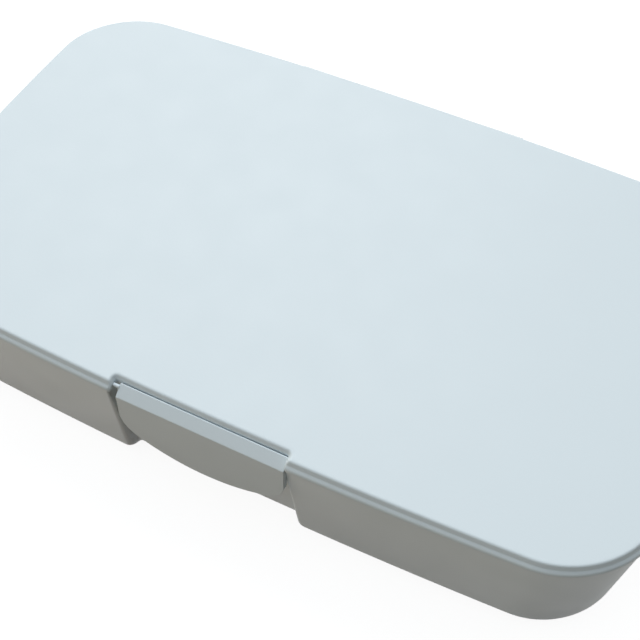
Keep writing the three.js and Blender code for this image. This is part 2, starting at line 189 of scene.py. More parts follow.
class PillBoxLid(PropertyGroup):
    """Lid: flange, raised plateau, notch and plug skirt."""

    gap: size("Parting Gap", 0.3, "Gap between the tray's rim and the lid")
    flange: size("Flange Thickness", 1.15, "Thickness of the flange")
    step: size("Plateau Step", 0.75, "Height of the plateau above the flange")
    plateau_inset: size("Plateau Inset", 0.6, "Inset of the plateau from the lid's edge")
    flange_fall: size("Flange Fall", 0.45, "Fall of the flange to its edge")
    flange_round: size("Flange Round", 0.7, "Radius of the flange's upper edge")
    flange_under: size("Flange Under", 0.1, "Radius of the flange's lower edge")
    plateau_foot: size("Plateau Foot", 0.6, "Radius at the foot of the plateau")
    plateau_slope: size("Plateau Slope", 0.42, "Lean of the plateau's side")
    plateau_round: size("Plateau Round", 0.5, "Radius of the plateau's shoulder")
    plate: size("Plate", 1.4, "Thickness of the plate under the plateau")
    skirt_inset: size("Skirt Inset", 4.2, "Inset of the plug skirt from the lid's edge")
    skirt: size("Skirt Thickness", 1.1, "Thickness of the plug skirt")
    skirt_drop: size("Skirt Drop", 2.6, "Depth of the skirt below the flange")
    foot_height: size("Foot Height", 0.7, "Height of the skirt's foot")
    foot_reach: size("Foot Reach", 1, "Reach of the skirt's foot")
    knuckle_rise: share("Knuckle Rise", 0.55, "Part of the flange's height that they join")
    notch_depth: size("Notch Depth", 2.13, "Depth of the latch notch")
    notch_corner: size("Notch Corner", 0.5, "Radius of the notch's back corners")
    notch_mouth: size("Notch Mouth", 0.6, "Radius of the notch's front corners")
    side_gap: size("Flap Side Gap", 0.75, "Mean gap beside the latch flap")
    notch_play: size("Notch Play", 0.6, "Offset of the flap from the notch's middle")
    notch_ease: share("Notch Ease", 0.3, "Sharpening of its mouth with the inset")


class PillBoxLatch(PropertyGroup):
    """Drop latch flap."""

    width: size("Width", 28.2, "Width of the flap")
    height: size("Height", 11.65, "Height of the flap's panel")
    thickness: size("Thickness", 1.15, "Thickness of the flap")
    lean: angle("Lean", 4, "Lean of the panel")
    corner: size("Corner Radius", 5, "Radius of the panel's lower corners")
    bottom: size("Bottom Radius", 25, "Radius of the panel's bowed lower edge")
    setback: size("Pivot Setback", 1.45, "Distance along Y from ridge to pivots")
    ridge_drop: size("Ridge Drop", 0.8, "Height of the pivots above the ridge")
    pivot: size("Pivot Radius", 0.3, "Radius of the stub pivots")
    band_round: size("Band Round", 0.62, "Radius of the band's back")
    band_turn: angle("Band Turn", 50, "Turn round its back where its slope ends")
    pivot_length: size("Pivot Length", 1.5, "Length of each stub pivot")
    edge: size("Edge Round", 0.35, "Radius of the flap's moulded edges")
    bead_height: size("Bead Height", 1, "Height of the snap bead")
    bead_reach: size("Bead Reach", 0.8, "Reach of the bead behind the flap")
    bead_gap: size("Bead Gap", 0.3, "Clearance between bead and catch rib")


class PillBoxHinge(PropertyGroup):
    """Rear hinge: knuckles of tray and lid in turn on one pin."""

    length: size("Length", 44, "Length of the row of knuckles")
    count: prop("Knuckles", 5, "Number of knuckles", IntProperty, min=3)
    gap: size("Knuckle Gap", 0.35, "Gap between two knuckles")
    radius: size("Knuckle Radius", 1.4, "Radius of a knuckle")
    pin: size("Pin Radius", 0.65, "Radius of the steel pin")
    slack: size("Pin Slack", 0.1, "Clearance round the pin")


class PillBoxInsides(PropertyGroup):
    """Silicone seal and lift-out dividers."""

    seal_inset: size("Seal Inset", 2.4, "Inset of the seal from the lid's edge")
    seal_width: size("Seal Width", 1.5, "Width of the seal")
    seal_gap: size("Seal Gap", 0.3, "Clearance above and below the seal")
    seal_lip: size("Seal Lip", 0.35, "Reach of the seal's lip")
    seal_round: size("Seal Round", 0.12, "Radius of the lip's edges")
    divider: size("Divider Thickness", 1.2, "Thickness of a divider")
    slack: size("Divider Slack", 0.3, "Clearance beside a divider")
    drop: size("Divider Drop", 0.3, "Clearance below and above a divider")
    scallop_radius: size("Scallop Radius", 7, "Radius of the finger scallop")
    scallop_depth: size("Scallop Depth", 3.5, "Depth of the finger scallop")


class PillBoxFinish(PropertyGroup):
    """Colours and surface of the moulded parts."""

    shell: colour("Shell", "#dbe6eb", "Polypropylene of tray, lid and flap")
    divider: colour("Dividers", "#d9dfe2", "Polypropylene of the dividers")
    seal: colour("Seal", "#c9cfd1", "Silicone of the seal")
    pin: colour("Pin", "#b9bcc0", "Steel of the hinge pin")
    roughness: share("Shell Roughness", 0.42, "Roughness of the polypropylene")
    grain: size("Grain", 0.45, "Distance between the surface's grains")


class PillBoxStudio(PropertyGroup):
    """Floor, lamp and sky."""

    # The table's brown, darkened near the box as a painted shadow of it
    floor: colour("Floor", "#6e4410", "Colour that the floor casts near the box")
    far_floor: colour("Far Floor", "#cfc4ac", "Colour that it casts further off")
    sky: colour("Sky", "#e2edf7", "Light from above")
    horizon: colour("Horizon", "#e9d0a2", "Light from the sides")
    sky_strength: prop("Sky Strength", 0.73, "Strength of the even light", min=0)
    # The same part also sets how dark the painted shade on the floor is
    shade: share("Shade", 0.95, "How much darker it is on the shaded side")
    lamp: prop("Lamp", 20.5, "Power of the soft lamp", min=0, unit="POWER")
    lamp_size: size("Lamp Size", 1100, "Side of the square soft lamp")


class PillBoxSettings(PropertyGroup):
    """All the sizes and finishes of the pill box."""

    plan: PointerProperty(type=PillBoxPlan)
    tray: PointerProperty(type=PillBoxTray)
    lid: PointerProperty(type=PillBoxLid)
    latch: PointerProperty(type=PillBoxLatch)
    hinge: PointerProperty(type=PillBoxHinge)
    insides: PointerProperty(type=PillBoxInsides)
    finish: PointerProperty(type=PillBoxFinish)
    studio: PointerProperty(type=PillBoxStudio)


# Nodes

def add(tree, kind, inputs=None, **settings):
    """Adds a node with its own settings, and sets or links its input sockets."""
    made = tree.nodes.new(kind)
    for name, value in settings.items():
        setattr(made, name, value)
    for name, value in (inputs or {}).items():
        socket = made.inputs[name]
        if isinstance(value, bpy.types.NodeSocket):
            tree.links.new(value, socket)
        else:
            socket.default_value = value
    return made


def out(tree, kind, inputs=None, **settings):
    """The first output of an added node."""
    return add(tree, kind, inputs, **settings).outputs[0]


def maths(tree, operation, first, second):
    """The result of one sum."""
    return out(tree, "ShaderNodeMath", {0: first, 1: second}, operation=operation)


def vector(tree, x=0.0, y=0.0, z=0.0):
    """A vector from its parts."""
    return out(tree, "ShaderNodeCombineXYZ", {0: x, 1: y, 2: z})


def geometry_tree(name, **labels):
    """A modifier's new node tree, with its named inputs by kind of socket."""
    tree = bpy.data.node_groups.new(name, "GeometryNodeTree")
    inputs = [("Geometry", "Geometry")]
    inputs += [(label, kind) for kind, given in labels.items() for label in given]
    for label, kind in [*inputs, ("Finish", "Material")]:
        tree.interface.new_socket(label, in_out="INPUT", socket_type=f"NodeSocket{kind}")
    tree.interface.new_socket("Geometry", in_out="OUTPUT", socket_type="NodeSocketGeometry")
    return tree, add(tree, "NodeGroupInput").outputs


def end_tree(tree, given, geometry):
    """Ends a tree in real faces with their material."""
    real = out(tree, "GeometryNodeRealizeInstances", {"Geometry": geometry})
    painted = out(tree, "GeometryNodeSetMaterial", {"Geometry": real, "Material": given["Finish"]})
    add(tree, "NodeGroupOutput", {"Geometry": painted})
    return tree


def bow_tree():
    """The plan's rule: what is laid out with straight sides swells towards their middles."""
    tree, given = geometry_tree(
        "Bowed plan", Float=("Half Length", "Half Depth", "Long Side Bow", "Short Side Bow")
    )
    axes = add(
        tree, "ShaderNodeSeparateXYZ", {0: out(tree, "GeometryNodeInputPosition")}
    ).outputs
    along = maths(tree, "DIVIDE", axes[0], given["Half Length"])
    across = maths(tree, "DIVIDE", axes[1], given["Half Depth"])

    def pulled(start, bow, own, other):
        swell = maths(tree, "MULTIPLY", maths(tree, "MULTIPLY", other, other), own)
        return maths(tree, "SUBTRACT", start, maths(tree, "MULTIPLY", swell, given[bow]))

    x = pulled(axes[0], "Short Side Bow", along, across)
    y = pulled(axes[1], "Long Side Bow", across, along)
    moved = {"Geometry": given["Geometry"], "Position": vector(tree, x, y, axes[2])}
    return end_tree(tree, given, out(tree, "GeometryNodeSetPosition", moved))


def solid_of_face(tree, face, offset):
    """Draws a flat face out along an offset and closes it with a turned copy."""
    far = {"Mesh": face, "Offset": offset, "Individual": False}
    both = add(tree, "GeometryNodeJoinGeometry")
    tree.links.new(out(tree, "GeometryNodeFlipFaces", {"Mesh": face}), both.inputs[0])
    tree.links.new(out(tree, "GeometryNodeExtrudeMesh", far), both.inputs[0])
    merged = {"Geometry": both.outputs[0], "Distance": DOUBLED}
    return out(tree, "GeometryNodeMergeByDistance", merged)


def rib_tree():
    """A guide rib on each given point, with the point's lean and stretch."""
    tree, given = geometry_tree("Guide ribs", Float=("Reach", "Width", "Height"))
    sides = {"Width": given["Reach"], "Height": given["Width"]}
    outline = out(tree, "GeometryNodeCurvePrimitiveQuadrilateral", sides)
    radius = maths(tree, "MULTIPLY", given["Width"], 0.4)
    nosed = {"Curve": outline, "Radius": radius, "Count": 5}
    nosed = out(tree, "GeometryNodeFilletCurve", nosed, mode="POLY")
    filled = out(tree, "GeometryNodeFillCurve", {"Curve": nosed}, mode="NGONS")
    rib = solid_of_face(tree, filled, vector(tree, z=given["Height"]))
    lean, stretch = (
        out(tree, "GeometryNodeInputNamedAttribute", {"Name": name}, data_type="FLOAT_VECTOR")
        for name in ("lean", "stretch")
    )
    placed = {"Points": given["Geometry"], "Instance": rib, "Rotation": lean, "Scale": stretch}
    return end_tree(tree, given, out(tree, "GeometryNodeInstanceOnPoints", placed))


def knuckle_tree():
    """Every second knuckle of a row, drawn out from its profile and bored."""
    tree, given = geometry_tree(
        "Knuckle row", Int=("Count", "First"), Float=("Pitch", "Width", "Bore"), Vector=("Axis",)
    )
    knuckle = solid_of_face(tree, given["Geometry"], vector(tree, given["Width"]))
    line = {"Count": given["Count"], "Offset": vector(tree, given["Pitch"])}
    row = out(tree, "GeometryNodeMeshLine", line)
    parity = maths(tree, "MODULO", out(tree, "GeometryNodeInputIndex"), 2.0)
    chosen = {"A": parity, "B": given["First"], "Epsilon": 0.1}
    chosen = out(tree, "FunctionNodeCompare", chosen, data_type="FLOAT", operation="EQUAL")
    placed = {"Points": row, "Instance": knuckle, "Selection": chosen}
    placed = out(tree, "GeometryNodeInstanceOnPoints", placed)
    # The rod that bores them is longer than any row
    rod = {"Vertices": 32, "Radius": given["Bore"], "Depth": 0.2}
    rod = out(tree, "GeometryNodeMeshCylinder", rod)
    laid = {"Geometry": rod, "Translation": given["Axis"], "Rotation": (0, math.pi / 2, 0)}
    bored = add(tree, "GeometryNodeMeshBoolean", operation="DIFFERENCE")
    real = out(tree, "GeometryNodeRealizeInstances", {"Geometry": placed})
    tree.links.new(real, bored.inputs[0])
    tree.links.new(out(tree, "GeometryNodeTransform", laid), bored.inputs[1])
    return end_tree(tree, given, bored.outputs["Mesh"])


def run_tree(obj, tree, material, sizes):
    """Runs a tree on a piece with these inputs and keeps the result as its mesh."""
    modifier = obj.modifiers.new(tree.name, "NODES")
    modifier.node_group = tree
    sockets = {s.name: s.identifier for s in tree.interface.items_tree if s.in_out == "INPUT"}
    for name, value in {**sizes, "Finish": material}.items():
        modifier[sockets[name]] = value
    graph = bpy.context.evaluated_depsgraph_get()
    graph.update()
    plain = bpy.data.meshes.new_from_object(obj.evaluated_get(graph))
    obj.modifiers.remove(modifier)
    old = obj.data
    obj.data = plain
    bpy.data.meshes.remove(old)
    if not plain.polygons:
        raise RuntimeError(f"{tree.name} made no faces for {obj.name}")
    return obj


# Meshes

def linked(name, data):
    """A new object with this data, in the scene."""
    obj = bpy.data.objects.new(name, data)
    bpy.context.scene.collection.objects.link(obj)
    return obj


def new_piece(name, vertices, faces=(), material=None):
    """A new object at the origin with this mesh."""
    mesh = bpy.data.meshes.new(name)
    mesh.from_pydata([tuple(v) for v in vertices], [], faces)
    mesh.update()
    if material:
        mesh.materials.append(material)
    return linked(name, mesh)


@contextmanager
def reshaped(mesh):
    """A mesh open for changes, which it keeps."""
    form = bmesh.new()
    form.from_mesh(mesh)
    yield form
    form.to_mesh(mesh)
    form.free()


def outwards(obj):
    """Turns a closed piece's faces outwards."""
    with reshaped(obj.data) as form:
        bmesh.ops.recalc_face_normals(form, faces=form.faces)
    return obj


def joined(name, pieces):
    """Several pieces as one object."""
    first, *others = pieces
    with reshaped(first.data) as form:
        for piece in others:
            form.from_mesh(piece.data)
    for piece in others:
        bpy.data.objects.remove(piece)
    first.name = first.data.name = name
    return first


def finished(obj, body, nodes, edge=0, sharp=40):
    """Doubled points merged, edges rounded or sharp, and the piece's place in the frame."""
    mesh = obj.data
    with reshaped(mesh) as form:
        bmesh.ops.remove_doubles(form, verts=form.verts, dist=DOUBLED)
    mesh.polygons.foreach_set("use_smooth", [True] * len(mesh.polygons))
    if edge:
        bevel = obj.modifiers.new("Moulded edges", "BEVEL")
        bevel.width = edge
        bevel.segments = 3
        bevel.limit_method = "ANGLE"
        bevel.angle_limit = math.radians(28)
    else:
        mesh.set_sharp_from_angle(angle=math.radians(sharp))
    weighted = obj.modifiers.new("Flat faces stay flat", "WEIGHTED_NORMAL")
    weighted.keep_sharp = True
    weighted.weight = 60
    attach(obj, body)
    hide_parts(*nodes)
    return obj


def arc(centre, radius, start, end, steps):
    """Points on an arc between two angles in degrees, both ends included."""
    x, y = centre
    turns = [math.radians(start + (end - start) * i / steps) for i in range(steps + 1)]
    return [Vector((x + radius * math.cos(a), y + radius * math.sin(a))) for a in turns]


def between(start, end, steps):
    """Points between two others, both ends left out."""
    return [start.lerp(end, i / steps) for i in range(1, steps)]


def filleted(corners, closed=False):
    """A line of (across, up, radius) corners as points, each rounded by its radius."""
    points, count = [], len(corners)
    for i, (across, up, radius) in enumerate(corners):
        here = Vector((across, up))
        if radius <= 0 or (not closed and i in (0, count - 1)):
            points.append(here)
            continue
        before = (Vector(corners[i - 1][:2]) - here).normalized()
        after = (Vector(corners[(i + 1) % count][:2]) - here).normalized()
        half = before.angle(after) / 2
        centre = here + (before + after).normalized() * radius / math.sin(half)
        start, end = (here + way * radius / math.tan(half) - centre for way in (before, after))
        sweep = math.atan2(start.x * end.y - start.y * end.x, start.dot(end))
        steps = LARGE_ROUND_STEPS if radius > LARGE_ROUND else SMALL_ROUND_STEPS
        points += [centre + Matrix.Rotation(sweep * s / steps, 2) @ start for s in range(steps + 1)]
    return points


def inlet(plan, shape, play, inset, opened):
    """Left and right half of an inlet in the front, each from the front face in to its floor. The
    shape is its half width, depth, inner and mouth radius, and opened sets its walls back."""
    half, depth, corner, mouth = shape
    front_plane = -plan.depth / 2
    centre = Vector((half - corner, front_plane + depth - corner))
    inner = corner + opened
    mouth_y = front_plane + inset + mouth
    turn = math.asin(max(mouth_y - centre.y, 0) / (inner + mouth))
    start = math.degrees(turn)
    mouth_centre = (centre.x + (inner + mouth) * math.cos(turn), mouth_y)
    line = arc(mouth_centre, mouth, 270, 180 + start, MOUTH_STEPS)
    line += arc(centre, inner, start, 90, INNER_STEPS)
    slid = Vector((play, 0))
    return [Vector((-p.x, p.y)) - slid for p in line], [p - slid for p in line]


def recess_line(box, inset):
    """A line that follows the tray's front recess at an inset of the outline."""
    tray = box.tray
    shape = (tray.recess_half_width, tray.recess_depth, tray.recess_inner, tray.inside_mouth)
    return inlet(box.plan, shape, tray.recess_play, inset, inset)


def recess_face(box, inset):
    """The recess's outer face, which widens and softens towards the base."""
    tray = box.tray
    more = tray.recess_spread * inset**2 / (inset + tray.recess_upright)
    shape = (
        tray.recess_half_width + more, tray.recess_depth + inset, tray.recess_inner + more,
        tray.recess_mouth + tray.recess_soften * more,
    )
    return inlet(box.plan, shape, tray.recess_play, inset, 0)


def notch_line(box, inset):
    """The lid's notch, whose edge rounds over as far as the plateau's."""
    lid = box.lid
    mouth = max(lid.notch_mouth - inset * lid.notch_ease, INSIDE_EDGE)
    shape = (box.latch.width / 2 + lid.side_gap, lid.notch_depth, lid.notch_corner, mouth)
    return inlet(box.plan, shape, lid.notch_play, inset, max(0, inset - lid.plateau_inset))


def ring_at(box, front, point):
    """Straight-sided plan outline at a section's point (inset, z), with this front feature."""
    plan, inset = box.plan, point[0]
    x = plan.length / 2 - plan.corner_radius
    y = plan.depth / 2 - plan.corner_radius
    corners = [
        arc((side * x, rear * y), plan.corner_radius - inset, start, start + 90, CORNER_STEPS)
        for side, rear, start in ((1, -1, -90), (1, 1, 0), (-1, 1, 90), (-1, -1, 180))
    ]
    left, right = front(box, inset)
    parts = [*corners, left, right[::-1]]
    ring = []
    for i, part in enumerate(parts):
        steps = LONG_STEPS if i == 1 else SHORT_STEPS
        ring += [*part, *between(part[-1], parts[(i + 1) % len(parts)][0], steps)]
    return [(p.x, p.y, point[1]) for p in ring]


def loft(name, rings, material, closed=False):
    """A piece through rings of points, capped at its ends or closed on itself."""
    ring = len(rings[0])
    faces = []
    for low in range(len(rings) if closed else len(rings) - 1):
        high = (low + 1) % len(rings)
        for i in range(ring):
            j = (i + 1) % ring
            faces.append((low * ring + i, low * ring + j, high * ring + j, high * ring + i))
    if not closed:
        faces.append(tuple(reversed(range(ring))))
        faces.append(tuple(range((len(rings) - 1) * ring, len(rings) * ring)))
    return new_piece(name, [p for r in rings for p in r], faces, material)


def bowed(obj, box, material):
    """Lets the sides of a piece that is laid out straight swell by the plan's rule."""
    plan = box.plan
    sizes = {
        "Half Length": plan.length / 2, "Half Depth": plan.depth / 2,
        "Long Side Bow": plan.long_bow, "Short Side Bow": plan.short_bow,
    }
    return run_tree(obj, bow_tree(), material, sizes)


def bowed_y(plan, x, y):
    """Where the plan's rule puts a straight side's point at (x, y), along Y."""
    return y - plan.long_bow * (y / (plan.depth / 2)) * (x / (plan.length / 2)) ** 2


def closed_ring(name, box, section, material):
    """A closed section of (inset, z, radius) corners all round the box, past the recess."""
    rings = [ring_at(box, recess_line, p) for p in filleted(section, closed=True)]
    return outwards(bowed(loft(name, rings, material, closed=True), box, material))


def drawn(name, profile, axis, start, end, material):
    """A solid drawn out along an axis from a closed profile in the other two."""
    def place(p, along):
        return (along, p[0], p[1]) if axis == "x" else (p[0], along, p[1])

    rings = [[place(p, along) for p in profile] for along in (start, end)]
    return outwards(loft(name, rings, material))


def lathed(name, stations, centre, material, steps=32):
    """A round piece along X through stations of (x, radius)."""
    turns = [2 * math.pi * i / steps for i in range(steps)]
    rings = [
        [(x, centre.y + radius * math.cos(t), centre.z + radius * math.sin(t)) for t in turns]
        for x, radius in stations
    ]
    return outwards(loft(name, rings, material))


# Materials

def new_tree(data):
    """The emptied node tree of a new material or world."""
    data.use_nodes = True
    data.node_tree.nodes.clear()
    return data.node_tree


def object_coordinates(tree, scale=(1, 1, 1)):
    """Object coordinates, stretched for one pattern."""
    source = add(tree, "ShaderNodeTexCoord").outputs["Object"]
    return out(tree, "ShaderNodeMapping", {"Vector": source, "Scale": scale})


def noise(tree, place, scale, detail):
    """Noise of so many patches a metre."""
    inputs = {"Vector": place, "Scale": scale, "Detail": detail}
    return add(tree, "ShaderNodeTexNoise", inputs).outputs["Fac"]


def bump(tree, height, strength, distance, **under):
    """Normals of a pattern's height, over those of a coarser one."""
    inputs = {"Height": height, "Strength": strength, "Distance": distance, **under}
    return out(tree, "ShaderNodeBump", inputs)


def blend(tree, factor, first, second):
    """A colour between two."""
    inputs = {"Factor": factor, "A": tuple(first), "B": tuple(second)}
    return add(tree, "ShaderNodeMix", inputs, data_type="RGBA").outputs["Result"]


def remap(tree, value, given, wanted=(0.0, 1.0), curve="LINEAR"):
    """A value carried over from one range to another."""
    inputs = {"Value": value, 1: given[0], 2: given[1], 3: wanted[0], 4: wanted[1]}
    return out(tree, "ShaderNodeMapRange", inputs, interpolation_type=curve)


def darker(tint, part):
    """A colour less a part of its light."""
    return (*(c * (1 - part) for c in tint[:3]), 1)


def moulded_polypropylene(tree, tint, roughness, grain, cloud):
    """Injection moulded polypropylene: a waxy white with faint flow clouds, satin from a fine
    spark-eroded grain, slightly wavy, with rubbed patches."""
    place = object_coordinates(tree)
    # Clouds from the melt's flow, about 30 mm across
    cloudy = blend(tree, noise(tree, place, 33.0, 3.0), darker(tint, cloud), tint)
    # The slow waves of a cooled plate, about 9 mm long, and the grain of the tool
    waves = bump(tree, noise(tree, place, 110.0, 1.0), 0.08, 0.1 * MM)
    bumps = bump(tree, noise(tree, place, 1 / grain, 2.0), 0.12, 0.05 * MM, Normal=waves)
    # Rubbing in use: patches about 6 mm across where the grain is a little polished
    rub = noise(tree, place, 160.0, 4.0)
    sheen = remap(tree, rub, (0.35, 0.7), (roughness + 0.03, roughness - 0.03))
    return {
        "Base Color": cloudy, "Roughness": sheen, "IOR": 1.49, "Specular IOR Level": 0.25,
        "Normal": bumps,
    }


def soft_silicone(tree, tint):
    """Pressed silicone rubber: matt and slightly dusty, with a soft sheen."""
    dust = noise(tree, object_coordinates(tree), 900.0, 4.0)
    return {
        "Base Color": blend(tree, dust, darker(tint, 0.07), tint), "Roughness": 0.68, "IOR": 1.41,
        "Sheen Weight": 0.15, "Normal": bump(tree, dust, 0.15, 0.05 * MM),
    }


def drawn_steel(tree, tint):
    """Drawn stainless steel wire: bright, with fine die lines along it."""
    die = noise(tree, object_coordinates(tree, (40, 9000, 9000)), 1.0, 3.0)
    return {
        "Base Color": tint, "Metallic": 1.0, "Normal": bump(tree, die, 0.1, 0.01 * MM),
        "Roughness": remap(tree, die, (0.3, 0.7), (0.22, 0.38)),
    }


def material_of(box, slot):
    """The finish of a slot, made once."""
    finish = box.finish
    plain, grain = finish.roughness, finish.grain
    name, making, details = {
        "shell": ("moulded_white_polypropylene", moulded_polypropylene, (plain, grain, 0.02)),
        "divider": (
            "moulded_natural_polypropylene", moulded_polypropylene, (plain + 0.06, grain, 0.07)
        ),
        "seal": ("pressed_silicone", soft_silicone, ()),
        "pin": ("drawn_steel_wire", drawn_steel, ()),
    }[slot]
    material = bpy.data.materials.get(name)
    if not material:
        material = bpy.data.materials.new(name)
        tree = new_tree(material)
        inputs = making(tree, tuple(getattr(finish, slot)), *details)
        shader = out(tree, "ShaderNodeBsdfPrincipled", inputs)
        add(tree, "ShaderNodeOutputMaterial", {"Surface": shader})
    return material


def moulded(context, body, node, *pieces):
    """Builds the pieces of a moulded part, each with its function and the radius of its edges."""
    box = context.scene.pill_box
    for build, edge in pieces:
        finished(build(box, material_of(box, "shell")), body, [node], edge)
    return {"FINISHED"}


# Places that several pieces share

def wall_line(tray, distance, top):
    """Line (inset, z) at a distance in from the tray wall's outer face, floor first."""
    def inset(height):
        lean = (tray.height - height) * math.tan(tray.draft)
        return tray.rim_inset + lean + distance / math.cos(tray.draft)

    radius = tray.base_fillet - distance
    start = inset(distance) + radius + PLAIN_EDGE
    return filleted(
        [(start, distance, 0), (inset(distance), distance, radius), (inset(top), top, 0)]
    )


def underside(box):
    """Height of the lid's underside, above the rim."""
    return box.tray.height + box.lid.gap


def below_skirt(box):
    """Inset and height of what passes inside the lid's skirt and stops below it."""
    lid = box.lid
    return lid.skirt_inset + lid.skirt + CLEAR, underside(box) - lid.skirt_drop - CLEAR


def rear_face(box, inset):
    """Place along Y of the rear wall at an inset, where the hinge ends."""
    return bowed_y(box.plan, box.hinge.length / 2, box.plan.depth / 2 - inset)


def knuckle_row(name, box, profile, first, material):
    """One part's knuckles, the first or the second of every two."""
    hinge = box.hinge
    pitch = (hinge.length + hinge.gap) / hinge.count
    face = [(-hinge.length / 2, y, z) for y, z in profile]
    row = new_piece(name, face, [tuple(reversed(range(len(face))))])
    sizes = {
        "Count": hinge.count, "First": first, "Pitch": pitch, "Width": pitch - hinge.gap,
        "Bore": hinge.pin + hinge.slack, "Axis": HINGE,
    }
    return outwards(run_tree(row, knuckle_tree(), material, sizes))


def catch_heights(box):
    """Lower and upper height of the catch rib."""
    top = underside(box) - box.tray.catch_drop
    return top - box.tray.catch_height, top


def bead_depth(box):
    """Depth of the bead's middle below the flap's ridge, just under the catch rib."""
    latch = box.latch
    middle = catch_heights(box)[0] - latch.bead_gap - latch.bead_height / 2
    return PIVOT.z - latch.ridge_drop - middle


def bead_tip(box):
    """Place along Y that the bead reaches."""
    latch = box.latch
    away = (latch.thickness + latch.bead_reach) * math.cos(latch.lean)
    return -box.plan.depth / 2 + away - bead_depth(box) * math.sin(latch.lean)


def tray_shell(box, white):
    tray = box.tray
    outer = wall_line(tray, 0, tray.height)
    inner = wall_line(tray, tray.wall, tray.height - tray.rim_chamfer)
    foot = inner[-1]
    rim = filleted([
        (*outer[-2], 0), (tray.rim_inset, tray.height, tray.rim_round),
        (foot.x - tray.rim_chamfer, tray.height, FINE_EDGE), (*foot, tray.rim_round),
        (*inner[-2], 0),
    ])
    # The outer face and the inside follow the recess each in its own way
    edge = 1 + len(rim) // 2
    rings = [ring_at(box, recess_face, p) for p in [*outer[:-1], *rim[1:edge]]]
    rings += [ring_at(box, recess_line, p) for p in [*rim[edge:-1], *reversed(inner[:-1])]]
    return bowed(loft("tray_shell", rings, white), box, white)


def bay_walls(box, white):
    plan, tray = box.plan, box.tray
    inner, low_top = below_skirt(box)
    line = wall_line(tray, tray.wall - BITE, low_top)
    end = [*line, Vector((inner, low_top)), Vector((inner, tray.height))]
    half = tray.bay_wall / 2
    walls = []
    for place in (-tray.bay_pitch, 0, tray.bay_pitch):
        recess = 0 if place else tray.recess_depth
        front = [(bowed_y(plan, place, recess + p.x - plan.depth / 2), p.y) for p in end]
        rear = [(bowed_y(plan, place, plan.depth / 2 - p.x), p.y) for p in end]
        profile = [*front, *reversed(rear)]
        walls.append(drawn("bay_wall", profile, "x", place - half, place + half, white))
    return joined("tray_bay_walls", walls)


def divider_guides(box, white):
    tray, insides = box.tray, box.insides
    floor = tray.wall - BITE
    height = below_skirt(box)[1] - floor
    away = (insides.divider + insides.slack + tray.guide_width) / 2
    wall = wall_line(tray, tray.wall, tray.height)[-2]
    foot = box.plan.length / 2 - wall.x - (wall.y - floor) * math.tan(tray.draft)
    # The ribs on the end walls stand on the foot's fillet and have only one side in the open
    thin = (tray.end_guide, 1, 1 - tray.guide_lift / height)
    ribs = []
    for y in (-away, away):
        for x in (-tray.bay_pitch, 0, tray.bay_pitch):
            ribs.append(((x, y, floor), (0, 0, 0), (1, 1, 1)))
        for side in (-1, 1):
            place = (side * foot, y, floor + tray.guide_lift)
            ribs.append((place, (0, side * tray.draft, 0), thin))
    places, leans, stretches = zip(*ribs)
    points = new_piece("tray_divider_guides", places)
    for name, values in (("lean", leans), ("stretch", stretches)):
        attribute = points.data.attributes.new(name, "FLOAT_VECTOR", "POINT")
        attribute.data.foreach_set("vector", [v for value in values for v in value])
    reach = tray.bay_wall + 2 * tray.guide_reach
    sizes = {"Reach": reach, "Width": tray.guide_width, "Height": height}
    return run_tree(points, rib_tree(), white, sizes)


def catch_rib(box, white):
    tray = box.tray
    low, top = catch_heights(box)
    wall = wall_line(tray, 0, top)[-1].x
    root = tray.recess_depth + wall + 2 * BITE - box.plan.depth / 2
    tip = bead_tip(box) + box.latch.bead_gap
    lead = tray.catch_height / 2
    profile = [(root, low), (root, top), (tip + lead, top), (tip, top - lead), (tip, low)]
    half = tray.catch_half_width
    return drawn("tray_catch", profile, "x", -half, half, white)


def tray_knuckles(box, white):
    radius = box.hinge.radius
    reach = rear_face(box, wall_line(box.tray, 0, HINGE.z)[-1].x) - BITE
    turn = arc((HINGE.y, HINGE.z), radius, -60, 90, 16)
    profile = [(reach, HINGE.z - 2 * radius), *turn, (reach, HINGE.z + radius)]
    return knuckle_row("tray_knuckles", box, profile, 0, white)


class PILLBOX_OT_tray(Operator):
    """Build the tray: shell, bay walls, divider guides, catch rib and its hinge knuckles"""

    bl_idname = "pillbox.tray"
    bl_label = "Tray"

    def execute(self, context):
        return moulded(
            context, "case", "tray", (tray_shell, 0), (bay_walls, PLAIN_EDGE),
            (divider_guides, FINE_EDGE), (catch_rib, SOFT_EDGE), (tray_knuckles, PLAIN_EDGE),
        )


def lid_plate(box, white):
    lid = box.lid
    bottom = underside(box)
    flange_top = bottom + lid.flange
    top = flange_top + lid.step
    pocket = lid.skirt_inset + lid.skirt
    shoulder = lid.plateau_inset + lid.plateau_slope
    outside = filleted([
        (2 * lid.flange_under, bottom, 0), (0, bottom, lid.flange_under),
        (0, flange_top - lid.flange_fall, lid.flange_round),
        (lid.plateau_inset, flange_top, lid.plateau_foot),
        (shoulder, top, lid.plateau_round), (shoulder + lid.plateau_round, top, 0),
    ])
    rings = [ring_at(box, recess_line, (pocket, z)) for z in (top - lid.plate, bottom)]
    rings += [ring_at(box, notch_line, p) for p in outside]
    return bowed(loft("lid_plate", rings, white), box, white)


def lid_skirt(box, white):
    lid = box.lid
    top = underside(box) + BITE
    bottom = underside(box) - lid.skirt_drop
    outer = lid.skirt_inset
    foot, foot_top = outer - lid.foot_reach, bottom + lid.foot_height
    section = [
        (foot, bottom, PLAIN_EDGE), (foot, foot_top, FINE_EDGE), (outer, foot_top, INSIDE_EDGE),
        (outer, top, 0), (outer + lid.skirt, top, 0), (outer + lid.skirt, bottom, PLAIN_EDGE),
    ]
    return closed_ring("lid_skirt", box, section, white)


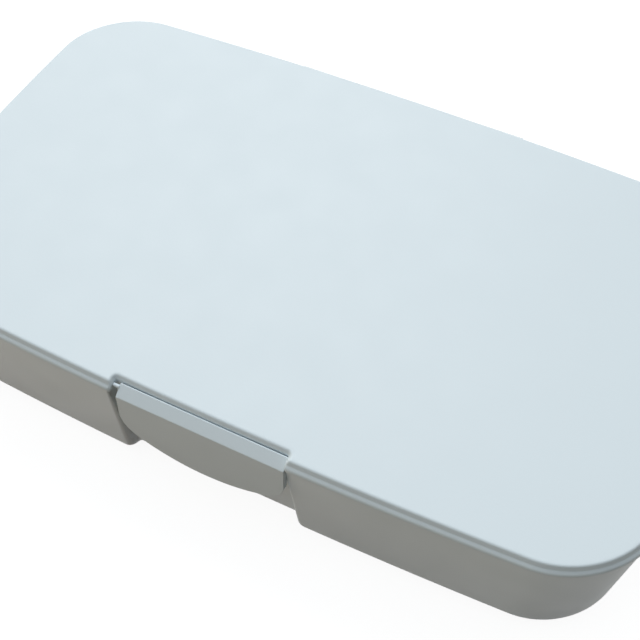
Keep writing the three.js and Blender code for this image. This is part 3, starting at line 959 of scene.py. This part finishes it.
def lid_knuckles(box, white):
    lid, radius = box.lid, box.hinge.radius
    bottom = underside(box)
    upper = bottom + lid.knuckle_rise * lid.flange
    reach = rear_face(box, lid.plateau_inset)
    profile = arc((HINGE.y, HINGE.z), radius, -180, 45, 20)
    profile += [(box.plan.depth / 2, upper), (reach, upper), (reach, bottom)]
    profile.append((HINGE.y - radius, bottom))
    return knuckle_row("lid_knuckles", box, profile, 1, white)


class PILLBOX_OT_lid(Operator):
    """Build the lid: flange, plateau, notch, plug skirt and its hinge knuckles"""

    bl_idname = "pillbox.lid"
    bl_label = "Lid"

    def execute(self, context):
        pieces = (lid_plate, 0), (lid_skirt, 0), (lid_knuckles, PLAIN_EDGE)
        return moulded(context, "cover", "lid", *pieces)


def on_panel(latch, depth, back):
    """Place (y, z) at a depth below the panel's ridge and a distance behind its front."""
    across, up = math.sin(latch.lean), math.cos(latch.lean)
    y = PIVOT.y - latch.setback - depth * across + back * up
    z = PIVOT.z - latch.ridge_drop - depth * up - back * across
    return y, z


def panel_outline(latch):
    """Lower outline of the panel as (x, depth), from its left side round to its right."""
    half, radius = latch.width / 2, latch.corner
    run = half - radius
    fall = math.sqrt((latch.bottom - radius) ** 2 - run**2)
    middle = latch.height - latch.bottom
    turn = math.degrees(math.atan2(fall, run))
    right = arc((0, middle), latch.bottom, 90, turn, 20)
    right += arc((run, middle + fall), radius, turn, 0, 14)[1:]
    return [*(Vector((-p.x, p.y)) for p in reversed(right[1:])), *right]


def flap_panel(box, white):
    """The panel, and above it the band, from the ridge round the pivots to the panel's back."""
    latch = box.latch
    thick = latch.thickness
    ridge = on_panel(latch, 0, 0)
    band = arc((PIVOT.y, PIVOT.z), latch.band_round, math.degrees(latch.band_turn), -90, 12)
    section = [ridge, *band, on_panel(latch, thick, thick)]
    outline = panel_outline(latch)
    vertices, faces = [], []

    def row(points):
        first = len(vertices)
        vertices.extend(points)
        return list(range(first, len(vertices)))

    left, right = (row([(x, *p) for p in section]) for x in (-latch.width / 2, latch.width / 2))
    front, back = (
        row([(p.x, *on_panel(latch, p.y, away)) for p in outline]) for away in (0, thick)
    )
    faces.append([left[0], *front, right[0]])
    faces.append([right[-1], *reversed(back), left[-1]])
    faces += [[*left, back[0], front[0]], [*right, back[-1], front[-1]]]
    for one, other in ((front, back), (left, right)):
        for i in range(len(one) - 1):
            faces.append([one[i], one[i + 1], other[i + 1], other[i]])
    return outwards(new_piece("latch_flap_panel", vertices, faces, white))


def latch_bead(box, white):
    latch, reach = box.latch, box.tray.catch_half_width
    middle, half = bead_depth(box), latch.bead_height / 2
    root, tip = latch.thickness - BITE, latch.thickness + latch.bead_reach
    corners = ((-half, root), (-half, tip), (half, tip), (half, root))
    profile = [on_panel(latch, middle + down, back) for down, back in corners]
    return drawn("latch_bead", profile, "x", -reach, reach, white)


def latch_pivots(box, white):
    """Two stubs that start just inside the flap's end faces."""
    latch = box.latch
    half, radius = latch.width / 2, latch.pivot
    end = half + latch.pivot_length
    stations = [(half - 0.05 * MM, radius), (end - FINE_EDGE, radius), (end, radius - END_CUT)]
    pair = [
        lathed("latch_pivot", [(side * x, r) for x, r in stations], PIVOT, white, 20)
        for side in (-1, 1)
    ]
    return joined("latch_pivots", pair)


class PILLBOX_OT_latch(Operator):
    """Build the drop latch flap with its band, leaning panel, bead and stub pivots"""

    bl_idname = "pillbox.latch"
    bl_label = "Latch Flap"

    def execute(self, context):
        edge = context.scene.pill_box.latch.edge
        pieces = (flap_panel, edge), (latch_bead, SOFT_EDGE), (latch_pivots, 0)
        return moulded(context, "latch", "latch_flap", *pieces)


class PILLBOX_OT_seal(Operator):
    """Build the silicone seal in the groove of the lid's skirt"""

    bl_idname = "pillbox.seal"
    bl_label = "Seal"

    def execute(self, context):
        box = context.scene.pill_box
        lid, insides = box.lid, box.insides
        lip, soft = insides.seal_lip, insides.seal_round
        bottom = underside(box) - lid.skirt_drop + lid.foot_height + insides.seal_gap
        top = underside(box) - insides.seal_gap
        near = insides.seal_inset
        far = near + insides.seal_width
        section = [
            (near, bottom, soft), (near, bottom + lip, soft), (near + lip, bottom + 2 * lip, soft),
            (near + lip, top, FINE_EDGE), (far, top, FINE_EDGE), (far, bottom, FINE_EDGE),
        ]
        ring = closed_ring("sealing_ring_soft", box, section, material_of(box, "seal"))
        finished(ring, "cover", ["sealing_ring"])
        return {"FINISHED"}


def divider_profile(box, outer):
    """Outline (x, z) of a divider on the right, anticlockwise from its lower inner corner."""
    tray, lid, insides = box.tray, box.lid, box.insides
    gap = tray.bay_wall / 2 + insides.slack
    near, far = gap, tray.bay_pitch - gap
    low, high = tray.wall + insides.drop, tray.height - insides.drop
    end = [(far, low), (far, high)]
    if outer:
        half = box.plan.length / 2
        inner, low_top = below_skirt(box)
        line = wall_line(tray, tray.wall + insides.slack, low_top)
        near, far = tray.bay_pitch + gap, half - lid.skirt_inset - lid.skirt
        end = [(half - p.x, p.y) for p in line if p.y >= low]
        end += [(half - inner, low_top), (half - inner, high)]
    radius, depth = insides.scallop_radius, insides.scallop_depth
    middle = ((near + far) / 2, high - depth + radius)
    reach = math.degrees(math.acos((radius - depth) / radius))
    scallop = arc(middle, radius, reach - 90, -reach - 90, 24)
    return [(near, low), *end, *scallop, (near, high)]


class PILLBOX_OT_dividers(Operator):
    """Build the four lift-out dividers with their finger scallops"""

    bl_idname = "pillbox.dividers"
    bl_label = "Dividers"

    def execute(self, context):
        box = context.scene.pill_box
        natural = material_of(box, "divider")
        half = box.insides.divider / 2
        for number, (side, outer) in enumerate(((-1, True), (-1, False), (1, False), (1, True)), 1):
            points = [(side * p[0], p[1]) for p in divider_profile(box, outer)]
            piece = drawn(f"divider_{number}_plate", points, "y", -half, half, natural)
            finished(piece, "case", [f"divider_{number}"], SOFT_EDGE)
        return {"FINISHED"}


class PILLBOX_OT_pin(Operator):
    """Build the steel pin through the hinge's knuckles"""

    bl_idname = "pillbox.pin"
    bl_label = "Hinge Pin"

    def execute(self, context):
        box = context.scene.pill_box
        half, radius = box.hinge.length / 2, box.hinge.pin
        end = [(half - END_CUT, radius), (half, radius - END_CUT)]
        stations = [*((-x, r) for x, r in reversed(end)), *end]
        pin = lathed("hinge_pin_wire", stations, HINGE, material_of(box, "pin"), 40)
        finished(pin, "case", ["hinge_pin"], 0, 30)
        return {"FINISHED"}


def end_stage_tree(tree, cast, white, output):
    """Ends a tree in what it casts on the box, and in white for what sees it directly."""
    rays = add(tree, "ShaderNodeLightPath").outputs
    seen = maths(tree, "MAXIMUM", rays["Is Camera Ray"], rays["Is Glossy Ray"])
    seen = maths(tree, "MAXIMUM", seen, rays["Is Transmission Ray"])
    add(tree, output, {0: out(tree, "ShaderNodeMixShader", {0: seen, 1: cast, 2: white})})


def measured(tree, operation, *vectors):
    """The number that a sum of vectors gives."""
    inputs = dict(enumerate(vectors))
    return add(tree, "ShaderNodeVectorMath", inputs, operation=operation).outputs["Value"]


def stage_floor(studio):
    """A floor that reads white and keeps the box's shadow. What it casts is the table's brown close
    to the box, darkened there as a painted shadow of the box, paler further off, and darker in
    front of the right corner from a painted shade."""
    material = bpy.data.materials.new("studio_floor")
    tree = new_tree(material)
    # The table's brown near the box, darkened as a painted shadow of the box, paler further off
    away = measured(tree, "LENGTH", object_coordinates(tree, FLOOR_STRETCH))
    table_and_painted_shadow = blend(tree, remap(tree, away, FLOOR_RISE), studio.floor, studio.far_floor)
    # Painted shade: the floor's colour is darkened round a spot in front of the right corner
    spot = measured(tree, "DISTANCE", object_coordinates(tree), PAINTED_SHADE_SPOT)
    light = remap(tree, spot, PAINTED_SHADE_RADII, (1 - studio.shade, 1.0), "SMOOTHSTEP")
    table_with_painted_shade = out(tree, "ShaderNodeVectorMath", {0: table_and_painted_shadow, "Scale": light}, operation="SCALE")
    cast = out(tree, "ShaderNodeBsdfDiffuse", {"Color": table_with_painted_shade})
    # Most of the white glows by itself, and the rest takes the box's shadow
    grey = out(tree, "ShaderNodeBsdfDiffuse", {"Color": linear("#8c8c8c")})
    glow = out(tree, "ShaderNodeEmission", {"Color": WHITE, "Strength": 0.9})
    white = out(tree, "ShaderNodeAddShader", {0: grey, 1: glow})
    end_stage_tree(tree, cast, white, "ShaderNodeOutputMaterial")
    sides = ((-1, -1), (1, -1), (1, 1), (-1, 1))
    corners = [(x * FLOOR_HALF, y * FLOOR_HALF, -FLOOR_DROP) for x, y in sides]
    floor = new_piece("floor", corners, [(0, 1, 2, 3)], material)


def stage_sky(scene, studio):
    """Even light all round, cool from above and warm from the sides, with a shaded side."""
    scene.world = bpy.data.worlds.new("studio")
    tree = new_tree(scene.world)
    direction = add(tree, "ShaderNodeTexCoord").outputs["Generated"]
    facing = measured(tree, "DOT_PRODUCT", direction, SHADE_FROM)
    full = studio.sky_strength
    shaded = (full, full * (1 - studio.shade))
    strength = remap(tree, facing, SHADE_COSINES, shaded, "SMOOTHSTEP")
    height = add(tree, "ShaderNodeSeparateXYZ", {0: direction}).outputs[2]
    tone = blend(tree, remap(tree, height, SKY_RISE), studio.horizon, studio.sky)
    cast = out(tree, "ShaderNodeBackground", {"Color": tone, "Strength": strength})
    white = out(tree, "ShaderNodeBackground", {"Color": WHITE, "Strength": 1.0})
    end_stage_tree(tree, cast, white, "ShaderNodeOutputWorld")


def stage_lamp(studio):
    lamp = bpy.data.lights.new("soft_lamp", "AREA")
    lamp.shape = "SQUARE"
    lamp.size = studio.lamp_size
    lamp.energy = studio.lamp
    place = Vector(LAMP_PLACE)
    turned = place.to_track_quat("Z", "Y").to_matrix().to_4x4()
    linked("soft_lamp", lamp).matrix_world = Matrix.Translation(place) @ turned


def stage_camera(scene):
    turn, height, roll = (math.radians(a) for a in VIEW_ANGLES)
    turned = (
        Matrix.Rotation(turn, 4, "Z")
        @ Matrix.Rotation(math.pi / 2 - height, 4, "X")
        @ Matrix.Rotation(roll, 4, "Z")
    )
    place = (Vector(VIEW_POINT) + turned.col[2].xyz * VIEW_DISTANCE) * MM
    data = bpy.data.cameras.new("camera")
    data.sensor_width = SENSOR
    data.lens = VIEW_FOCAL * SENSOR / VIEW_PIXELS
    data.shift_x, data.shift_y = (shift / VIEW_PIXELS for shift in VIEW_SHIFT)
    data.clip_start = 0.01
    scene.camera = linked("camera", data)
    scene.camera.matrix_world = Matrix.Translation(place) @ turned


class PILLBOX_OT_stage(Operator):
    """Build the floor, the soft lamp, the sky and the camera"""

    bl_idname = "pillbox.stage"
    bl_label = "Stage"

    def execute(self, context):
        scene = context.scene
        scene.view_settings.view_transform = "Standard"
        stage_floor(scene.pill_box.studio)
        stage_sky(scene, scene.pill_box.studio)
        stage_lamp(scene.pill_box.studio)
        stage_camera(scene)
        return {"FINISHED"}


OPERATORS = (
    PILLBOX_OT_stage, PILLBOX_OT_tray, PILLBOX_OT_lid, PILLBOX_OT_latch, PILLBOX_OT_seal,
    PILLBOX_OT_dividers, PILLBOX_OT_pin,
)


class PILLBOX_PT_sidebar(Panel):
    """Pieces and sizes of the pill box"""

    bl_idname = "PILLBOX_PT_sidebar"
    bl_label = "Pill Box"
    bl_space_type = "VIEW_3D"
    bl_region_type = "UI"
    bl_category = "Pill Box"

    def draw(self, context):
        column = self.layout.column(align=True)
        for operator in OPERATORS:
            column.operator(operator.bl_idname)
        box = context.scene.pill_box
        for name in box.__annotations__:
            group = getattr(box, name)
            section = self.layout.column(align=True)
            section.label(text=name.title())
            for key in group.__annotations__:
                section.prop(group, key)


CLASSES = (
    PillBoxPlan, PillBoxTray, PillBoxLid, PillBoxLatch, PillBoxHinge, PillBoxInsides,
    PillBoxFinish, PillBoxStudio, PillBoxSettings, *OPERATORS, PILLBOX_PT_sidebar,
)


def register():
    for cls in CLASSES:
        bpy.utils.register_class(cls)
    bpy.types.Scene.pill_box = PointerProperty(type=PillBoxSettings)


def unregister():
    del bpy.types.Scene.pill_box
    for cls in reversed(CLASSES):
        bpy.utils.unregister_class(cls)


def main():
    register()
    bpy.ops.pillbox.stage()
    bpy.ops.pillbox.tray()
    bpy.ops.pillbox.lid()
    bpy.ops.pillbox.latch()
    bpy.ops.pillbox.seal()
    bpy.ops.pillbox.dividers()
    bpy.ops.pillbox.pin()


if __name__ == "__main__":
    main()
